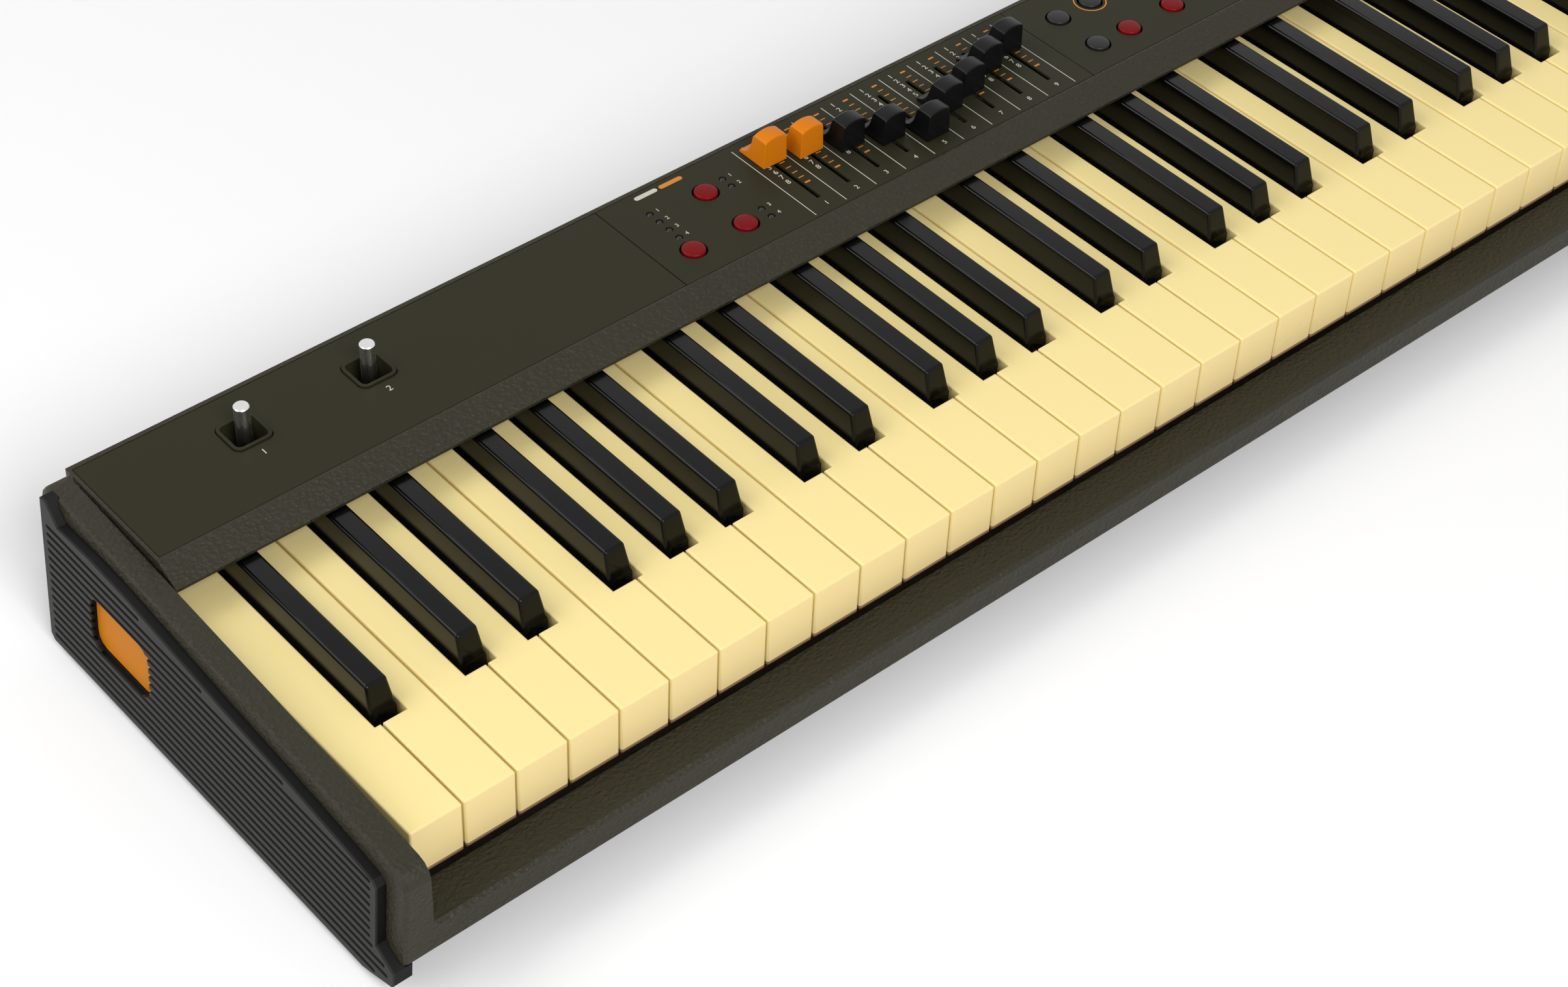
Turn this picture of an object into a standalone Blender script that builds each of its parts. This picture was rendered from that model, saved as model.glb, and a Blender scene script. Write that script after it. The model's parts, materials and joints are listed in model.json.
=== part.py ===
"""Stage piano with 88 keys, nine drawbars, two sticks and push buttons, as separate solids.

Every local place is measured in millimetres from the front left top corner of the white keys:
x to the treble side, y to the rear, z up. An empty at that corner carries all pieces, so that
the finished part has its origin under the middle of its box.
"""
import math

import bmesh
import bpy
from mathutils import Matrix

MM = 0.001
GAP = 0.3

# Keyboard
PITCH = 23.5
WHITES = 52
KEYBED = PITCH * WHITES
KEY_GAP = 1.0
BLACK_GAP = 1.35
HEAD_Y = 49.0
KEY_REAR = 194.0
KEY_SLAB = 8.0
LIP_DEPTH = 4.0
LIP_DROP = 25.0
BLACK_W = 11.5
BLACK_TOP_W = 9.4
BLACK_FRONT = 53.5
BLACK_TOP_FRONT = 57.0
BLACK_TOP_REAR = 150.0
BLACK_H = 12.0
PIVOT_Y = 190.0
BEAD_R = 2.5
FULL_PRESS = math.radians(3.0)
SPANS = 3
COMB_ROOT = 191.0
COMB_FRONT = 196.0
COMB_REAR = 199.0
COMB_T = 2.0
COMB_STEP = 3.0

# Case
FRONT_Y = -20.0
REAR_Y = 214.0
CHEEK_IN = 5.0
CHEEK_OUT = 15.2
CASE_BOTTOM = -38.5
CHEEK_RISE = (6.9, 0.082, -0.00007)
CHEEK_ROUND = 2.5
CHEEK_CORNER = 7.0
SIDE_LEAN = 0.07
LEAN_TOP = 22.0
RAIL_TOP = -26.0
RAIL_REAR = -1.6
GRILLE_OUT = 19.5
GRILLE_IN = 13.8
GRILLE_FOOT_IN = 10.9
GRILLE_BOTTOM = -50.7
GRILLE_FRONT = -9.7
GRILLE_REAR = 206.0
GRILLE_TIP = 21.0
GRILLE_SHOULDER = -33.0
GRILLE_TOE = -45.5
TOE_SLOPE = 3.4
SHOULDER_SLOPE = 1.8
GRILLE_TOP = ((172.0, 13.9), (149.0, 13.1), (122.0, 10.5), (84.0, 6.8), (43.0, 3.9), (5.5, 0.1))
GRILLE_FIT = 0.4
RIB_PITCH = 4.0
RIB_GROOVE = 1.8
RIB_DEPTH = 2.2
RIB_RIM = 3.0
RIB_EDGE = 2.0
WINDOW = (154.0, -17.0, 40.0, 26.0, 6.0)
INSERT_DEPTH = 2.7
PAN_WALL = 1.5
PAN_BOTTOM = -50.0
PAN_SIDE = 14.8
PAN_FRONT = -17.0
PAN_BEND = -7.0
FOOT_R = 9.0
FOOT_Z = -53.7

# Top housing and its plates
HOUSE_SIDE = 3.7
HOUSE_TOP = 20.5
HOUSE_FRONT = 150.1
HOUSE_WALL = 2.3
HOUSE_ROOF = 4.0
LIP_Y = 138.6
LIP_Z = 14.0
LIP_T = 1.4
PLATE_T = 1.2
PLATE_EDGE = 1.8
PLATE_FRONT = 151.4
PLATE_REAR = 211.6
SEAM_LEFT = 249.8
SEAM_RIGHT = 484.9
REAR_PANEL = (208.9, 211.2)

# Controls
STICKS = ((60.2, 189.0), (118.6, 189.0))
WELL_OUT = 17.4
WELL_WALL = 1.4
WELL_FLOOR = 1.5
STICK_R = 3.2
STICK_TOP = 34.3
STICK_PIVOT_Z = 6.0
BAR_X = 330.8
BAR_PITCH = 17.03
BAR_W = 13.2
BAR_FRONTS = (190.0, 185.7, 177.8, 170.4, 160.8, 170.2, 174.4, 181.0, 186.0)
BAR_TOP = 35.3
SLOT_FRONT = 161.4
SLOT_REAR = 199.8
SLOT_W = 2.2
CAP_FOOT = ((16.2, 0.0), (16.4, 1.8), (13.2, 2.6), (10.4, 3.8), (9.0, 6.4))
CAP_HEAD = ((8.2, 1.4), (7.2, 0.0), (0.8, 0.4), (0.2, 1.4))
CAP_TAPER = 0.88
STEM_BACK = 4.5
STEM_LEN = 4.0
BUTTON_R = 5.2
BUTTON_HOLE_R = 6.1
BUTTON_TOP = 21.9
BUTTONS = (("select_button", 266.6, 167.2, "red"), ("percussion_button", 295.1, 193.6, "red"),
           ("decay_button", 295.0, 167.3, "red"), ("layer_button", 503.6, 167.3, "charcoal"),
           ("edit_button", 503.4, 192.8, "charcoal"), ("sound_button", 523.6, 167.2, "red"),
           ("store_button", 524.3, 193.4, "charcoal"), ("lower_button", 552.4, 168.0, "red"))
LEDS = ((267.3, 196.8), (267.3, 190.4), (267.3, 183.9), (267.3, 177.4),
        (306.7, 196.4), (306.7, 190.4), (306.7, 170.8), (306.7, 164.4))
LED_R = 1.7
DISPLAY = (612.0, 700.0, 166.0, 197.0)
KNOBS = (("value_knob", 742.0, 181.5, 11.0), ("volume_knob", KEYBED - 32.0, 181.5, 9.0))
KNOB_H = 13.0
KNOB_SHAFT_R = 3.0

# Rear connectors
JACK_FROM_END = 242.0
JACK_PITCH = 25.0
JACKS = tuple(KEYBED - JACK_FROM_END + JACK_PITCH * i for i in range(4))
JACK_R = 6.0
JACK_BORE = 3.3
JACK_Z = -8.0
DINS = (JACKS[0] - 80.0, JACKS[0] - 45.0)
DIN_R = 8.5
DIN_BORE = 6.5
USB = (DINS[0] - 34.0, 12.0, 11.0)
INLET_X = JACKS[3] + 55.0
SWITCH_X = INLET_X + 30.0
SWITCH_R = 4.0
SOCKET_DEPTH = 6.6

# Inside
BASE_FRONT = 8.0
BASE_REAR = 197.0
BASE_T = 2.0
BASE_OVER = 2.0
NECK_HALF = 1.5
STOP_POST = (36.0, 42.0, -24.0)
BOARD_POST = (104.0, 108.0, -30.0)
PRESS_ROOM = 0.9
CONTACT_Y = (86.0, 98.0, 112.0, 126.0)
BOARD_T = 1.6
MAIN_BOARD = (KEYBED - 342.0, KEYBED - 62.0, 48.0, 100.0)
CHIPS = ((50.0, 22.0), (120.0, 30.0), (200.0, 16.0))
CHIP_Y = 60.0
CHIP_T = 3.6
PANEL_BOARD = (250.0, 776.0, 156.0, 206.0, 5.0)
POST_HALF = 2.0
SWITCH_HALF = 3.0
SWITCH_TOP = 14.0
UNIT_HALF = 4.5
UNIT_TOP = 15.0
TRACK_TOP = 8.5

MATERIALS = {}
PARENT = None


def material(name, color, roughness, metallic=0.0):
    """Return a Principled material, made once for each name."""
    if name not in MATERIALS:
        mat = bpy.data.materials.new(name)
        mat.use_nodes = True
        shader = mat.node_tree.nodes["Principled BSDF"]
        shader.inputs["Base Color"].default_value = (*color, 1.0)
        shader.inputs["Roughness"].default_value = roughness
        shader.inputs["Metallic"].default_value = metallic
        MATERIALS[name] = mat
    return MATERIALS[name]


FINISHES = {
    "olive": ((0.042, 0.039, 0.026), 0.6, 0.0),
    "plate": ((0.042, 0.040, 0.030), 0.45, 0.0),
    "graphite": ((0.06, 0.058, 0.056), 0.5, 0.0),
    "cream": ((0.93, 0.80, 0.45), 0.3, 0.0),
    "ebony": ((0.012, 0.012, 0.013), 0.3, 0.0),
    "orange": ((0.78, 0.24, 0.01), 0.4, 0.0),
    "red": ((0.30, 0.008, 0.012), 0.35, 0.0),
    "charcoal": ((0.02, 0.021, 0.024), 0.4, 0.0),
    "steel": ((0.45, 0.45, 0.46), 0.35, 1.0),
    "aluminium": ((0.75, 0.75, 0.74), 0.3, 1.0),
    "felt": ((0.25, 0.03, 0.03), 0.95, 0.0),
    "board": ((0.02, 0.12, 0.05), 0.5, 0.0),
    "rubber": ((0.015, 0.015, 0.015), 0.85, 0.0),
    "lens": ((0.01, 0.01, 0.012), 0.1, 0.0),
}


def publish(bm, name, finish):
    """Make one named object of a bmesh, hung on the corner empty."""
    bmesh.ops.recalc_face_normals(bm, faces=bm.faces)
    bmesh.ops.scale(bm, vec=(MM, MM, MM), verts=bm.verts)
    mesh = bpy.data.meshes.new(name)
    bm.to_mesh(mesh)
    bm.free()
    obj = bpy.data.objects.new(name, mesh)
    bpy.context.scene.collection.objects.link(obj)
    obj.parent = PARENT
    if finish:
        mesh.materials.append(material(finish, *FINISHES[finish]))
    return obj


def origin_at(obj, x, y, z):
    """Move an object's origin to a local place and keep its shape where it is."""
    obj.data.transform(Matrix.Translation((-x * MM, -y * MM, -z * MM)))
    obj.location = (x * MM, y * MM, z * MM)


def add_box(bm, x0, x1, y0, y1, z0, z1):
    """Add a closed box."""
    made = bmesh.ops.create_cube(bm, size=1.0)["verts"]
    bmesh.ops.scale(bm, vec=(x1 - x0, y1 - y0, z1 - z0), verts=made)
    bmesh.ops.translate(bm, vec=((x0 + x1) / 2, (y0 + y1) / 2, (z0 + z1) / 2), verts=made)
    return made


def add_prism(bm, outline, x0, x1):
    """Extrude an outline of (y, z) points from x0 to x1."""
    face = bm.faces.new([bm.verts.new((x0, y, z)) for y, z in outline])
    grown = bmesh.ops.extrude_face_region(bm, geom=[face])["geom"]
    moved = [v for v in grown if isinstance(v, bmesh.types.BMVert)]
    bmesh.ops.translate(bm, vec=(x1 - x0, 0, 0), verts=moved)
    return list(face.verts) + moved


def add_slab(bm, outline, z0, z1):
    """Extrude an outline of (x, y) points from z0 to z1."""
    face = bm.faces.new([bm.verts.new((x, y, z0)) for x, y in outline])
    grown = bmesh.ops.extrude_face_region(bm, geom=[face])["geom"]
    moved = [v for v in grown if isinstance(v, bmesh.types.BMVert)]
    bmesh.ops.translate(bm, vec=(0, 0, z1 - z0), verts=moved)


def add_turned(bm, profile, centre, axis="Z", sides=16):
    """Add a round body from (radius, height) pairs; each end closes flat."""
    rings = []
    for radius, height in profile:
        ring = []
        for i in range(sides):
            a = 2 * math.pi * i / sides
            p = (radius * math.cos(a), radius * math.sin(a), height)
            ring.append(bm.verts.new(place(p, centre, axis)))
        rings.append(ring)
    for low, high in zip(rings, rings[1:]):
        for i in range(sides):
            j = (i + 1) % sides
            bm.faces.new((low[i], low[j], high[j], high[i]))
    bm.faces.new(rings[0][::-1])
    bm.faces.new(rings[-1])


def place(point, centre, axis):
    """Turn a point given along Z so that its height runs along the named axis."""
    x, y, z = point
    if axis == "Y":
        x, y, z = x, z, y
    return (centre[0] + x, centre[1] + y, centre[2] + z)


def rounded(cx, cy, width, depth, radius, steps=3):
    """Return the outline of a rectangle with round corners."""
    points = []
    for k, (sx, sy) in enumerate(((1, 1), (-1, 1), (-1, -1), (1, -1))):
        for i in range(steps + 1):
            a = math.radians(90 * k + 90 * i / steps)
            points.append((cx + sx * (width / 2 - radius) + radius * math.cos(a),
                           cy + sy * (depth / 2 - radius) + radius * math.sin(a)))
    return points


def cutter(bm, name):
    """Make a hidden wire object that only cuts."""
    obj = publish(bm, name, None)
    obj.hide_render = True
    obj.display_type = "WIRE"
    return obj


def combine(obj, other, operation):
    """Add a live exact Boolean."""
    mod = obj.modifiers.new(f"{operation.lower()}_{other.name}", "BOOLEAN")
    mod.operation = operation
    mod.solver = "EXACT"
    mod.object = other


def set_side(verts, right):
    """Lean the outer faces of a left side shape, and turn it into a right one where asked."""
    for vert in verts:
        if vert.co.x < -GRILLE_FOOT_IN + 1.0:
            vert.co.x -= SIDE_LEAN * (LEAN_TOP - vert.co.z)
        if right:
            vert.co.x = KEYBED - vert.co.x


def add_side(bm, outline, x0, x1, right):
    """Add a leaning side plate from its side view."""
    set_side(add_prism(bm, outline, x0, x1), right)


def cheek_top(y):
    """Height of a cheek's top at y."""
    a, b, c = CHEEK_RISE
    return a + b * y + c * y * y


def cheek_outline():
    """Side view of a cheek: round front top corner, rising top, round rear corner."""
    r = CHEEK_CORNER
    points = [(FRONT_Y, CASE_BOTTOM), (REAR_Y, CASE_BOTTOM)]
    for t in map(math.radians, (0, 30, 60, 90)):
        points.append((REAR_Y - r + r * math.cos(t), cheek_top(REAR_Y - r) - r + r * math.sin(t)))
    for y in (150.0, 75.0):
        points.append((y, cheek_top(y)))
    for t in map(math.radians, (90, 60, 30, 0)):
        points.append((FRONT_Y + r - r * math.cos(t), cheek_top(FRONT_Y + r) - r + r * math.sin(t)))
    return points


def grille_outline(grow=0.0):
    """Side view of a grille, grown by a clearance where the cheek surrounds it."""
    low = CASE_BOTTOM - GAP - 0.2
    points = [(FRONT_Y, low + grow), (FRONT_Y, GRILLE_TOE), (-6.3, -49.6), (-2.0, GRILLE_BOTTOM),
              (GRILLE_REAR - 2.5, GRILLE_BOTTOM), (GRILLE_REAR + grow, GRILLE_BOTTOM + 2.5),
              (GRILLE_REAR + grow, GRILLE_TIP + grow), (GRILLE_REAR - 3.0 - grow, GRILLE_TIP + grow),
              (195.0 - grow, 13.2 + grow)]
    points += [(y, z + grow) for y, z in GRILLE_TOP]
    points += [(GRILLE_FRONT + 2.5, -1.6 + grow), (GRILLE_FRONT - grow, -4.0),
               (GRILLE_FRONT - grow, GRILLE_SHOULDER)]
    return points


def build_case_frame():
    """Two cheeks and the front rail, one moulding, with a pocket for each grille."""
    frame = None
    for right in (False, True):
        bm = bmesh.new()
        add_prism(bm, cheek_outline(), -CHEEK_OUT, -CHEEK_IN)
        edges = [e for e in bm.edges if all(v.co.x < -CHEEK_OUT + 0.01 for v in e.verts)
                 and max(v.co.z for v in e.verts) > CASE_BOTTOM + 1.0]
        bmesh.ops.bevel(bm, geom=edges, offset=CHEEK_ROUND, offset_type="OFFSET", segments=2,
                        profile=0.5, affect="EDGES", material=-1, clamp_overlap=True)
        set_side(bm.verts, right)
        if frame is None:
            frame = publish(bm, "case_frame", "olive")
        else:
            combine(frame, cutter(bm, "right_cheek_form"), "UNION")
    bm = bmesh.new()
    rail = [(FRONT_Y, CASE_BOTTOM), (RAIL_REAR, CASE_BOTTOM), (RAIL_REAR, RAIL_TOP),
            (FRONT_Y + 1.5, RAIL_TOP), (FRONT_Y, RAIL_TOP - 1.5)]
    add_prism(bm, rail, -CHEEK_IN - 2.0, KEYBED + CHEEK_IN + 2.0)
    combine(frame, cutter(bm, "front_rail_form"), "UNION")
    bm = bmesh.new()
    for right in (False, True):
        add_side(bm, grille_outline(GRILLE_FIT), -GRILLE_OUT - 3.0, -GRILLE_IN + GAP, right)
    combine(frame, cutter(bm, "grille_pocket_form"), "DIFFERENCE")


def window_outline(shrink=0.0):
    """Plain round-cornered window of a grille, in the side view."""
    cy, cz, width, height, radius = WINDOW
    return rounded(cy, cz, width - 2 * shrink, height - 2 * shrink, radius - shrink)


def rib_front(level):
    """Where a groove may start so that the plate's sloping top stays above a level."""
    rising = GRILLE_TOP[::-1]
    for (y0, z0), (y1, z1) in zip(rising, rising[1:]):
        if z0 < level <= z1:
            return y0 + (y1 - y0) * (level - z0) / (z1 - z0)
    return GRILLE_FRONT if level <= rising[0][1] else rising[-1][0]


def foot_front(low):
    """Where a groove may start on the grille's foot, which runs on under the cheek."""
    under = max(0.0, GRILLE_TOE - low) * TOE_SLOPE
    over = max(0.0, low + RIB_GROOVE - CASE_BOTTOM + GAP) * SHOULDER_SLOPE
    return FRONT_Y + RIB_RIM + under + over


def build_grille(name, right):
    """Ribbed side plate with a foot under the cheek and a window."""
    bm = bmesh.new()
    add_side(bm, grille_outline(), -GRILLE_OUT, -GRILLE_IN, right)
    grille = publish(bm, name, "graphite")
    bm = bmesh.new()
    low = CASE_BOTTOM - GAP - 0.2
    foot = [(FRONT_Y, low), (FRONT_Y, GRILLE_TOE), (-6.3, -49.6), (-2.0, GRILLE_BOTTOM),
            (GRILLE_REAR - 2.5, GRILLE_BOTTOM), (GRILLE_REAR - 2.5, low)]
    add_side(bm, foot, -GRILLE_IN - 1.5, -GRILLE_FOOT_IN, right)
    combine(grille, cutter(bm, name + "_foot_form"), "UNION")
    bm = bmesh.new()
    add_side(bm, window_outline(), -GRILLE_OUT - 1.0, -GRILLE_IN + 1.0, right)
    combine(grille, cutter(bm, name + "_window_form"), "DIFFERENCE")
    bm = bmesh.new()
    low = GRILLE_BOTTOM + RIB_RIM
    while low + RIB_GROOVE < GRILLE_TOP[0][1] - RIB_RIM:
        front = max(GRILLE_FRONT + RIB_RIM, rib_front(low + RIB_GROOVE + RIB_EDGE))
        if low < GRILLE_SHOULDER:
            front = min(front, foot_front(low))
        rear = GRILLE_REAR - RIB_RIM
        groove = rounded((front + rear) / 2, low + RIB_GROOVE / 2, rear - front, RIB_GROOVE,
                         RIB_GROOVE / 2 - 0.02)
        add_side(bm, groove, -GRILLE_OUT - 1.0, -GRILLE_OUT + RIB_DEPTH, right)
        low += RIB_PITCH
    combine(grille, cutter(bm, name + "_groove_form"), "DIFFERENCE")


def build_side_inserts():
    """Coloured plates that fill the windows of both grilles."""
    for name, right in (("left_insert", False), ("right_insert", True)):
        bm = bmesh.new()
        add_side(bm, window_outline(GAP), -GRILLE_OUT + INSERT_DEPTH, -GRILLE_IN, right)
        publish(bm, name, "orange")


def build_pan():
    """Bottom tray of folded sheet: a floor with a slope up to the front rail."""
    top = CASE_BOTTOM - GAP
    rear = REAR_PANEL[0] - GAP
    outline = [(PAN_FRONT, top), (PAN_FRONT, top - 2.0), (PAN_BEND, PAN_BOTTOM), (rear, PAN_BOTTOM),
               (rear, PAN_BOTTOM + PAN_WALL), (PAN_BEND + 0.8, PAN_BOTTOM + PAN_WALL),
               (PAN_FRONT + PAN_WALL, top - 2.6), (PAN_FRONT + PAN_WALL, top)]
    bm = bmesh.new()
    add_prism(bm, outline, -PAN_SIDE, KEYBED + PAN_SIDE)
    publish(bm, "bottom_pan", "steel")


def build_rear_panel():
    """Upright rear plate with round and square holes for the sockets."""
    bm = bmesh.new()
    side = HOUSE_SIDE - HOUSE_WALL - GAP
    add_box(bm, -side, KEYBED + side, REAR_PANEL[0], REAR_PANEL[1],
            PAN_BOTTOM, HOUSE_TOP - HOUSE_ROOF - GAP)
    panel = publish(bm, "rear_panel", "graphite")
    bm = bmesh.new()
    for x in JACKS:
        add_turned(bm, ((JACK_R + GAP, -5.0), (JACK_R + GAP, 5.0)), (x, REAR_PANEL[0], JACK_Z), "Y")
    for x in DINS:
        add_turned(bm, ((DIN_R + GAP, -5.0), (DIN_R + GAP, 5.0)), (x, REAR_PANEL[0], JACK_Z), "Y")
    add_turned(bm, ((JACK_R + GAP, -5.0), (JACK_R + GAP, 5.0)),
               (INLET_X, REAR_PANEL[0], JACK_Z), "Y")
    add_turned(bm, ((SWITCH_R + GAP, -5.0), (SWITCH_R + GAP, 5.0)),
               (SWITCH_X, REAR_PANEL[0], JACK_Z), "Y")
    x, width, height = USB
    add_box(bm, x - width / 2 - GAP, x + width / 2 + GAP, REAR_PANEL[0] - 5, REAR_PANEL[1] + 5,
            JACK_Z - height / 2 - GAP, JACK_Z + height / 2 + GAP)
    combine(panel, cutter(bm, "rear_hole_form"), "DIFFERENCE")


def build_housing():
    """Top shell: fallboard slope, rim round the plates, rear wall and end walls."""
    bm = bmesh.new()
    outer = [(LIP_Y, LIP_Z - LIP_T), (LIP_Y, LIP_Z), (HOUSE_FRONT, HOUSE_TOP),
             (REAR_Y, HOUSE_TOP), (REAR_Y, 10.0), (LIP_Y + 3.0, LIP_Z - LIP_T)]
    add_prism(bm, outer, -HOUSE_SIDE, KEYBED + HOUSE_SIDE)
    house = publish(bm, "panel_housing", "olive")
    bm = bmesh.new()
    roof = HOUSE_TOP - HOUSE_ROOF
    inner = [(LIP_Y + 2.2, LIP_Z - LIP_T - 6.0), (LIP_Y + 2.2, LIP_Z - LIP_T + 0.2),
             (HOUSE_FRONT + 1.2, roof), (REAR_Y - HOUSE_WALL - 0.2, roof),
             (REAR_Y - HOUSE_WALL - 0.2, -5.0)]
    add_prism(bm, inner, -HOUSE_SIDE + HOUSE_WALL, KEYBED + HOUSE_SIDE - HOUSE_WALL)
    combine(house, cutter(bm, "housing_inside_form"), "DIFFERENCE")
    bm = bmesh.new()
    add_box(bm, -PLATE_EDGE - GAP, KEYBED + PLATE_EDGE + GAP, PLATE_FRONT - GAP,
            PLATE_REAR + GAP, HOUSE_TOP - PLATE_T - GAP, HOUSE_TOP + 5.0)
    combine(house, cutter(bm, "plate_recess_form"), "DIFFERENCE")
    bm = bmesh.new()
    for x0, x1 in ((40.0, 140.0), (258.0, 476.0), (494.0, 770.0), (1170.0, 1210.0)):
        add_box(bm, x0, x1, 158.0, 205.0, roof - 3.0, HOUSE_TOP + 1.0)
    combine(house, cutter(bm, "housing_window_form"), "DIFFERENCE")


def plate(name, x0, x1, holes):
    """One inlaid panel plate; holes adds its cutting shapes to a bmesh."""
    bm = bmesh.new()
    add_box(bm, x0, x1, PLATE_FRONT, PLATE_REAR, HOUSE_TOP - PLATE_T, HOUSE_TOP)
    made = publish(bm, name, "plate")
    bm = bmesh.new()
    holes(bm)
    combine(made, cutter(bm, name + "_hole_form"), "DIFFERENCE")


def round_hole(bm, x, y, radius):
    """Add a round cutting body through the plates."""
    add_turned(bm, ((radius, HOUSE_TOP - 8.0), (radius, HOUSE_TOP + 4.0)), (x, y, 0.0))


def left_holes(bm):
    """Wells of the two sticks."""
    for x, y in STICKS:
        add_slab(bm, rounded(x, y, WELL_OUT + 2 * GAP, WELL_OUT + 2 * GAP, 3.4),
                 HOUSE_TOP - 6.0, HOUSE_TOP + 3.0)


def bar_x(i):
    """Middle of drawbar i."""
    return BAR_X + BAR_PITCH * i


def organ_holes(bm):
    """Slots, buttons and lenses of the drawbar plate."""
    for i in range(len(BAR_FRONTS)):
        add_box(bm, bar_x(i) - SLOT_W / 2, bar_x(i) + SLOT_W / 2, SLOT_FRONT, SLOT_REAR,
                HOUSE_TOP - 6.0, HOUSE_TOP + 3.0)
    for _, x, y, _ in BUTTONS[:3]:
        round_hole(bm, x, y, BUTTON_HOLE_R)
    for x, y in LEDS:
        round_hole(bm, x, y, LED_R)


def main_holes(bm):
    """Buttons, knob shafts and display of the long plate."""
    for _, x, y, _ in BUTTONS[3:]:
        round_hole(bm, x, y, BUTTON_HOLE_R)
    for _, x, y, _ in KNOBS:
        round_hole(bm, x, y, KNOB_SHAFT_R + GAP)
    x0, x1, y0, y1 = DISPLAY
    add_box(bm, x0 - GAP, x1 + GAP, y0 - GAP, y1 + GAP, HOUSE_TOP - 6.0, HOUSE_TOP + 3.0)


def build_plates():
    """Three inlaid plates of the panel."""
    plate("left_plate", -PLATE_EDGE, SEAM_LEFT - 0.2, left_holes)
    plate("organ_plate", SEAM_LEFT + 0.2, SEAM_RIGHT - 0.2, organ_holes)
    plate("main_plate", SEAM_RIGHT + 0.2, KEYBED + PLATE_EDGE, main_holes)


WHITE_NOTES = ("A", "B", "C", "D", "E", "F", "G")
BLACK_SHIFT = {"C": -2.6, "D": 2.6, "F": -4.1, "G": 0.0, "A": 4.1}


def black_centre(index):
    """Middle of the black key to the right of white key index, or None."""
    note = WHITE_NOTES[index % 7]
    if index < 0 or index >= WHITES - 1 or note not in BLACK_SHIFT:
        return None
    return PITCH * (index + 1) + BLACK_SHIFT[note]


def add_white_key(bm, index):
    """One white key: wide head with a front lip, and a tail beside the black keys."""
    x0 = PITCH * index + KEY_GAP / 2
    x1 = PITCH * (index + 1) - KEY_GAP / 2
    t0, t1 = x0, x1
    half = BLACK_W / 2 + BLACK_GAP
    before, after = black_centre(index - 1), black_centre(index)
    if before is not None:
        t0 = before + half
    if after is not None:
        t1 = after - half
    points = {"a": (x0, 0.0), "b": (x1, 0.0), "c": (x1, LIP_DEPTH), "d": (x0, LIP_DEPTH),
              "e": (x1, HEAD_Y), "f": (t1, HEAD_Y), "g": (t0, HEAD_Y), "h": (x0, HEAD_Y),
              "i": (t1, KEY_REAR), "j": (t0, KEY_REAR)}
    if t1 == x1:
        points.pop("f")
    if t0 == x0:
        points.pop("g")
    verts = {k: bm.verts.new((p[0], p[1], 0.0)) for k, p in points.items()}
    lip = bm.faces.new([verts[k] for k in "abcd"])
    head = bm.faces.new([verts[k] for k in "dcefgh" if k in verts])
    right = verts.get("f", verts["e"])
    left = verts.get("g", verts["h"])
    tail = bm.faces.new([left, right, verts["i"], verts["j"]])
    top = [lip, head, tail]
    grown = bmesh.ops.extrude_face_region(bm, geom=top)["geom"]
    low = [v for v in grown if isinstance(v, bmesh.types.BMVert)]
    bmesh.ops.translate(bm, vec=(0, 0, -KEY_SLAB), verts=low)
    under = [f for f in grown if isinstance(f, bmesh.types.BMFace)
             and max(v.co.y for v in f.verts) < LIP_DEPTH + 0.1]
    grown = bmesh.ops.extrude_face_region(bm, geom=under)["geom"]
    low = [v for v in grown if isinstance(v, bmesh.types.BMVert)]
    bmesh.ops.translate(bm, vec=(0, 0, KEY_SLAB - LIP_DROP), verts=low)
    bmesh.ops.delete(bm, geom=under, context="FACES_ONLY")
    return t0, t1


def add_black_key(bm, centre):
    """One black key: tapered cap on a straight tail."""
    h, t = BLACK_W / 2, BLACK_TOP_W / 2
    rear = BLACK_TOP_REAR + 2.0
    rings = []
    for half, y0, y1, z in ((h, BLACK_FRONT, rear, 0.0), (t, BLACK_TOP_FRONT, BLACK_TOP_REAR, BLACK_H)):
        rings.append([bm.verts.new((centre + sx * half, y, z))
                      for sx, y in ((-1, y0), (1, y0), (1, y1), (-1, y1))])
    low, high = rings
    bm.faces.new(high)
    for i in range(4):
        j = (i + 1) % 4
        bm.faces.new((low[i], low[j], high[j], high[i]))
    end = [bm.verts.new((centre + sx * h, KEY_REAR, 0.0)) for sx in (1, -1)]
    bm.faces.new((low[3], low[2], end[0], end[1]))
    loop = (low[0], low[1], low[2], end[0], end[1], low[3])
    floor = [bm.verts.new((v.co.x, v.co.y, -KEY_SLAB)) for v in loop]
    for i in range(6):
        j = (i + 1) % 6
        bm.faces.new((loop[i], loop[j], floor[j], floor[i]))
    bm.faces.new(floor[::-1])
    return centre - h, centre + h


def comb_outline(tails):
    """Plan of the rail that joins a comb of keys, with a tooth under each tail."""
    points = [(tails[0][0], COMB_REAR)]
    for i, (left, right) in enumerate(tails):
        if i:
            points.append((left, COMB_FRONT))
        points += [(left, COMB_ROOT), (right, COMB_ROOT)]
        if i < len(tails) - 1:
            points.append((right, COMB_FRONT))
    points.append((tails[-1][1], COMB_REAR))
    return points


def build_comb(name, finish, layer, tails, bm):
    """Finish one comb: its keys, and the rail in its own layer behind them."""
    keys = publish(bm, name, finish)
    low = -KEY_SLAB + COMB_STEP * layer
    bm = bmesh.new()
    add_slab(bm, comb_outline([(a + 0.6, b - 0.6) for a, b in tails]), low, low + COMB_T)
    combine(keys, cutter(bm, name + "_rail_form"), "UNION")
    origin_at(keys, KEYBED / 2, PIVOT_Y, -KEY_SLAB - GAP - BEAD_R)
    for mod in keys.modifiers:
        origin_at(mod.object, KEYBED / 2, PIVOT_Y, -KEY_SLAB - GAP - BEAD_R)


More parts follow.
